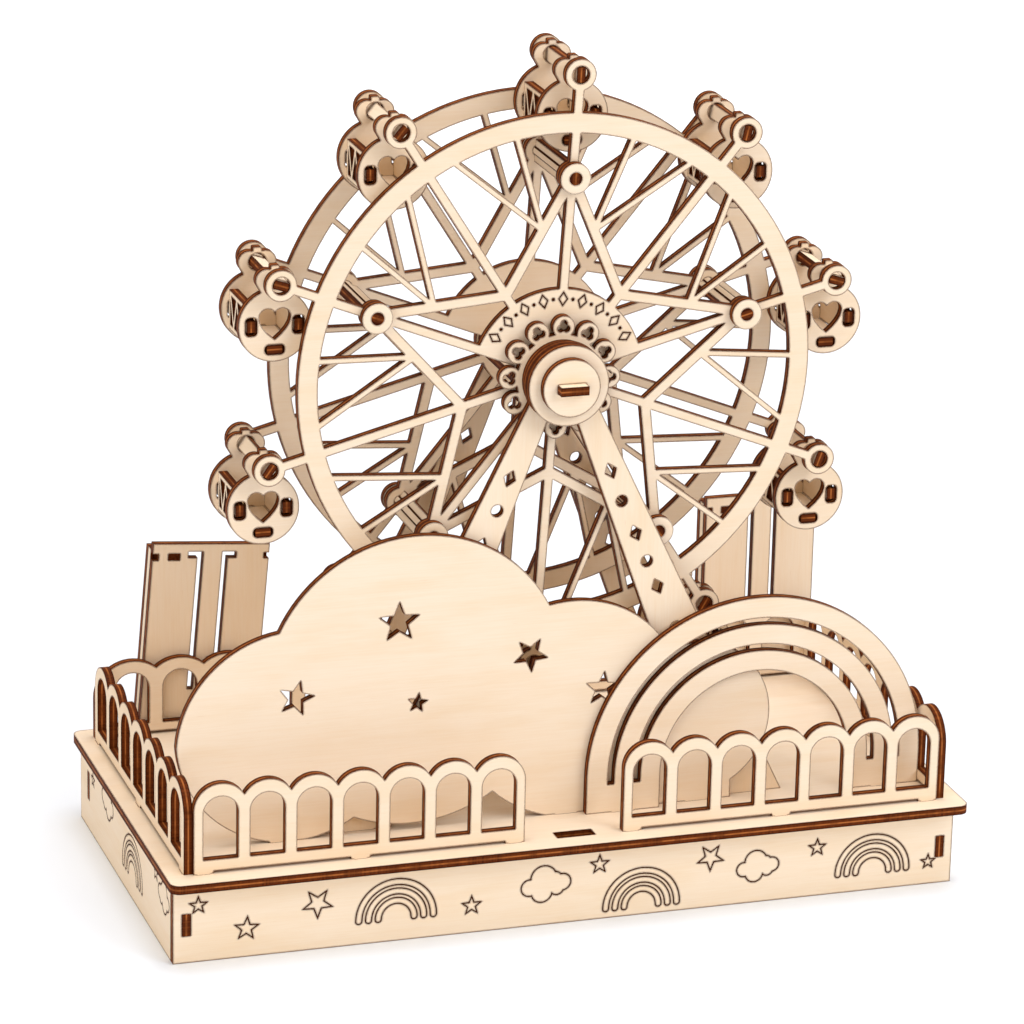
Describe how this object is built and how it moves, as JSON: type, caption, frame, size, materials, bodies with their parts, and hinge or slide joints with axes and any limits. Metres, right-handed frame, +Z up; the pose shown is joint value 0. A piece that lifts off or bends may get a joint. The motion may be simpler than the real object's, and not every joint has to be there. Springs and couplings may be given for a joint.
{
  "type": "crank ferris wheel toy",
  "caption": "Laser-cut plywood ferris wheel toy on a fenced base with cloud and rainbow panels, hanging gondolas and a rear hand crank.",
  "frame": {"origin": "on the table, midway between the toy's left and right sides and between its front and back", "axes": "+Z up, -Y towards the front with the cloud and rainbow, +X to the right seen from the front"},
  "size_m": [0.2754, 0.1456, 0.2849],
  "materials": {
    "plywood": "raw laser-cut plywood with burnt edges",
    "stick": "raw wood stick"
  },
  "bodies": {
    "base": {"cloud": "plywood", "deck": "plywood", "fence_front_left": "plywood", "fence_front_right": "plywood", "fence_left": "plywood", "fence_rear": "plywood", "fence_right": "plywood", "frame_front": "plywood", "frame_rear": "plywood", "rainbow": "plywood", "rib_left": "plywood", "rib_right": "plywood", "tower_left_sheets": "plywood", "tower_left_sides": "plywood", "tower_right_sheets": "plywood", "tower_right_sides": "plywood", "wall_back": "plywood", "wall_front": "plywood", "wall_left": "plywood", "wall_right": "plywood"},
    "wheel": {"wheel_front": "plywood", "wheel_rear": "plywood", "tie_boards": "plywood", "tie_washers": "plywood", "gondola_axles": "stick", "hub_board": "plywood", "hub_discs": "plywood", "hub_caps": "plywood", "rosette": "plywood", "crank_arm": "plywood", "crank_pin": "stick", "crank_cap": "plywood"},
    "crank_grip": {"crank_grip": "plywood"},
    "gondola_01": {"gondola_cheeks_01": "plywood", "gondola_box_01": "plywood"},
    "gondola_02": {"gondola_cheeks_02": "plywood", "gondola_box_02": "plywood"},
    "gondola_03": {"gondola_cheeks_03": "plywood", "gondola_box_03": "plywood"},
    "gondola_04": {"gondola_cheeks_04": "plywood", "gondola_box_04": "plywood"},
    "gondola_05": {"gondola_cheeks_05": "plywood", "gondola_box_05": "plywood"},
    "gondola_06": {"gondola_cheeks_06": "plywood", "gondola_box_06": "plywood"},
    "gondola_07": {"gondola_cheeks_07": "plywood", "gondola_box_07": "plywood"},
    "gondola_08": {"gondola_cheeks_08": "plywood", "gondola_box_08": "plywood"},
    "gondola_09": {"gondola_cheeks_09": "plywood", "gondola_box_09": "plywood"},
    "gondola_10": {"gondola_cheeks_10": "plywood", "gondola_box_10": "plywood"}
  },
  "joints": [
    {"name": "wheel_spin", "type": "hinge", "parent": "base", "child": "wheel", "pos_m": [0, -0.01665, 0.1804], "axis": [0, 1, 0], "continuous": true},
    {"name": "gondola_01_swing", "type": "hinge", "parent": "wheel", "child": "gondola_01", "pos_m": [0.00555, -0.01665, 0.27975], "axis": [0, 1, 0], "continuous": true},
    {"name": "gondola_02_swing", "type": "hinge", "parent": "wheel", "child": "gondola_02", "pos_m": [0.06289, -0.01665, 0.25751], "axis": [0, 1, 0], "continuous": true},
    {"name": "gondola_03_swing", "type": "hinge", "parent": "wheel", "child": "gondola_03", "pos_m": [0.0962, -0.01665, 0.20582], "axis": [0, 1, 0], "continuous": true},
    {"name": "gondola_04_swing", "type": "hinge", "parent": "wheel", "child": "gondola_04", "pos_m": [0.09277, -0.01665, 0.14442], "axis": [0, 1, 0], "continuous": true},
    {"name": "gondola_05_swing", "type": "hinge", "parent": "wheel", "child": "gondola_05", "pos_m": [0.0539, -0.01665, 0.09676], "axis": [0, 1, 0], "continuous": true},
    {"name": "gondola_06_swing", "type": "hinge", "parent": "wheel", "child": "gondola_06", "pos_m": [-0.00555, -0.01665, 0.08106], "axis": [0, 1, 0], "continuous": true},
    {"name": "gondola_07_swing", "type": "hinge", "parent": "wheel", "child": "gondola_07", "pos_m": [-0.06289, -0.01665, 0.10329], "axis": [0, 1, 0], "continuous": true},
    {"name": "gondola_08_swing", "type": "hinge", "parent": "wheel", "child": "gondola_08", "pos_m": [-0.0962, -0.01665, 0.15498], "axis": [0, 1, 0], "continuous": true},
    {"name": "gondola_09_swing", "type": "hinge", "parent": "wheel", "child": "gondola_09", "pos_m": [-0.09277, -0.01665, 0.21638], "axis": [0, 1, 0], "continuous": true},
    {"name": "gondola_10_swing", "type": "hinge", "parent": "wheel", "child": "gondola_10", "pos_m": [-0.0539, -0.01665, 0.26404], "axis": [0, 1, 0], "continuous": true},
    {"name": "crank_grip_spin", "type": "hinge", "parent": "wheel", "child": "crank_grip", "pos_m": [0.014, 0.03135, 0.15615], "axis": [0, 1, 0], "continuous": true}
  ],
  "couplings": [
    {"joint": "gondola_01_swing", "follows": "wheel_spin", "ratio": -1},
    {"joint": "gondola_02_swing", "follows": "wheel_spin", "ratio": -1},
    {"joint": "gondola_03_swing", "follows": "wheel_spin", "ratio": -1},
    {"joint": "gondola_04_swing", "follows": "wheel_spin", "ratio": -1},
    {"joint": "gondola_05_swing", "follows": "wheel_spin", "ratio": -1},
    {"joint": "gondola_06_swing", "follows": "wheel_spin", "ratio": -1},
    {"joint": "gondola_07_swing", "follows": "wheel_spin", "ratio": -1},
    {"joint": "gondola_08_swing", "follows": "wheel_spin", "ratio": -1},
    {"joint": "gondola_09_swing", "follows": "wheel_spin", "ratio": -1},
    {"joint": "gondola_10_swing", "follows": "wheel_spin", "ratio": -1}
  ]
}
